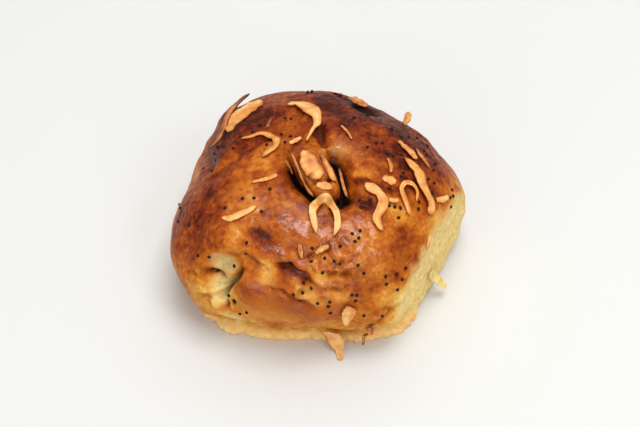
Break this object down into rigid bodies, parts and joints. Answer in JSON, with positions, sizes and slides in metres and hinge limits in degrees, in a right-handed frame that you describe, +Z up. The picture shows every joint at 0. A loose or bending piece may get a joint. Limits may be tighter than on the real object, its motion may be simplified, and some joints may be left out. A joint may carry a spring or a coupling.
{
  "type": "bread roll",
  "caption": "Irregular baked onion roll with a domed crust, a pulled centre knob, a flat base, a torn side, poppy seeds and toasted onion shreds.",
  "frame": {"origin": "on the table under the middle of the roll's overall bounds", "axes": "+X to the viewer's right, +Y away from the viewer, +Z up; the notched side faces -Y"},
  "size_m": [0.0979, 0.0948, 0.0559],
  "materials": {
    "crust": "egg-washed brown crust, slightly glossy, with pale torn crumb on the lower right side and dark poppy seeds",
    "onion": "toasted onion, satin, browned at the ends",
    "crumb": "soft torn bread crumb, matte"
  },
  "bodies": {
    "root": {"roll": "crust", "onion_curl_back": "onion", "onion_wide_left": "onion", "onion_long_left": "onion", "onion_hook": "onion", "onion_hook_twig": "onion", "onion_chip_centre": "onion", "onion_thin_left": "onion", "onion_taper_front": "onion", "onion_arch": "onion", "onion_fork": "onion", "onion_fork_arm": "onion", "onion_pale_patch": "onion", "onion_small_arch": "onion", "onion_long_right": "onion", "onion_inner_right": "onion", "onion_top_right": "onion", "onion_flake_right": "onion", "onion_burnt_back": "onion", "onion_burnt_chip": "onion", "onion_stick_back": "onion", "onion_knob_slice": "onion", "onion_knob_right": "onion", "onion_knob_left": "onion", "onion_knob_tip": "onion", "onion_slit_fibre": "onion", "onion_slit_left": "onion", "onion_fibre_back": "onion", "onion_streak_right": "onion", "onion_torn_edge": "onion", "onion_mid_flake": "onion", "onion_bit_front": "onion", "onion_low_leaf": "onion", "onion_front_flake": "onion", "onion_low_twig": "onion", "crumb_strand": "crumb"}
  },
  "joints": []
}
